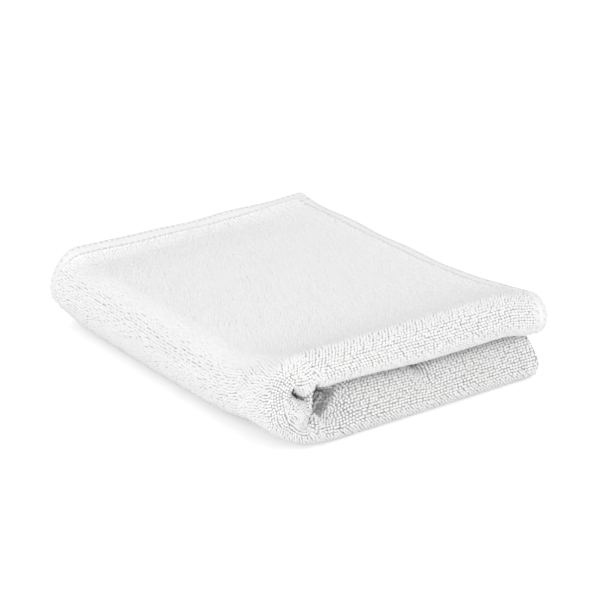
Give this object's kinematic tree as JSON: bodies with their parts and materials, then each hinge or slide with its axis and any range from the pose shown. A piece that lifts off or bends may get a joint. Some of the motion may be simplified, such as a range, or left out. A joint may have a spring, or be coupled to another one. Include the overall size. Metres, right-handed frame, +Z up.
{
  "type": "cleaning cloth",
  "caption": "Absorbent white terry cleaning cloth with overlocked hems, folded in quarters into a soft flat stack with rolled fold edges.",
  "frame": {"origin": "on the table, under the middle of the folded cloth's box", "axes": "+X along the first fold's roll towards the open end, +Y from that roll towards the open side, +Z up from the table"},
  "size_m": [0.1526, 0.1794, 0.041],
  "materials": {
    "terry": "matte white looped terry pile",
    "hem": "matte white overlocked thread"
  },
  "bodies": {
    "root": {"terry_panel": "terry", "outer_side_hem": "hem", "inner_side_hem": "hem", "upper_end_hem": "hem", "lower_end_hem": "hem"}
  },
  "joints": []
}
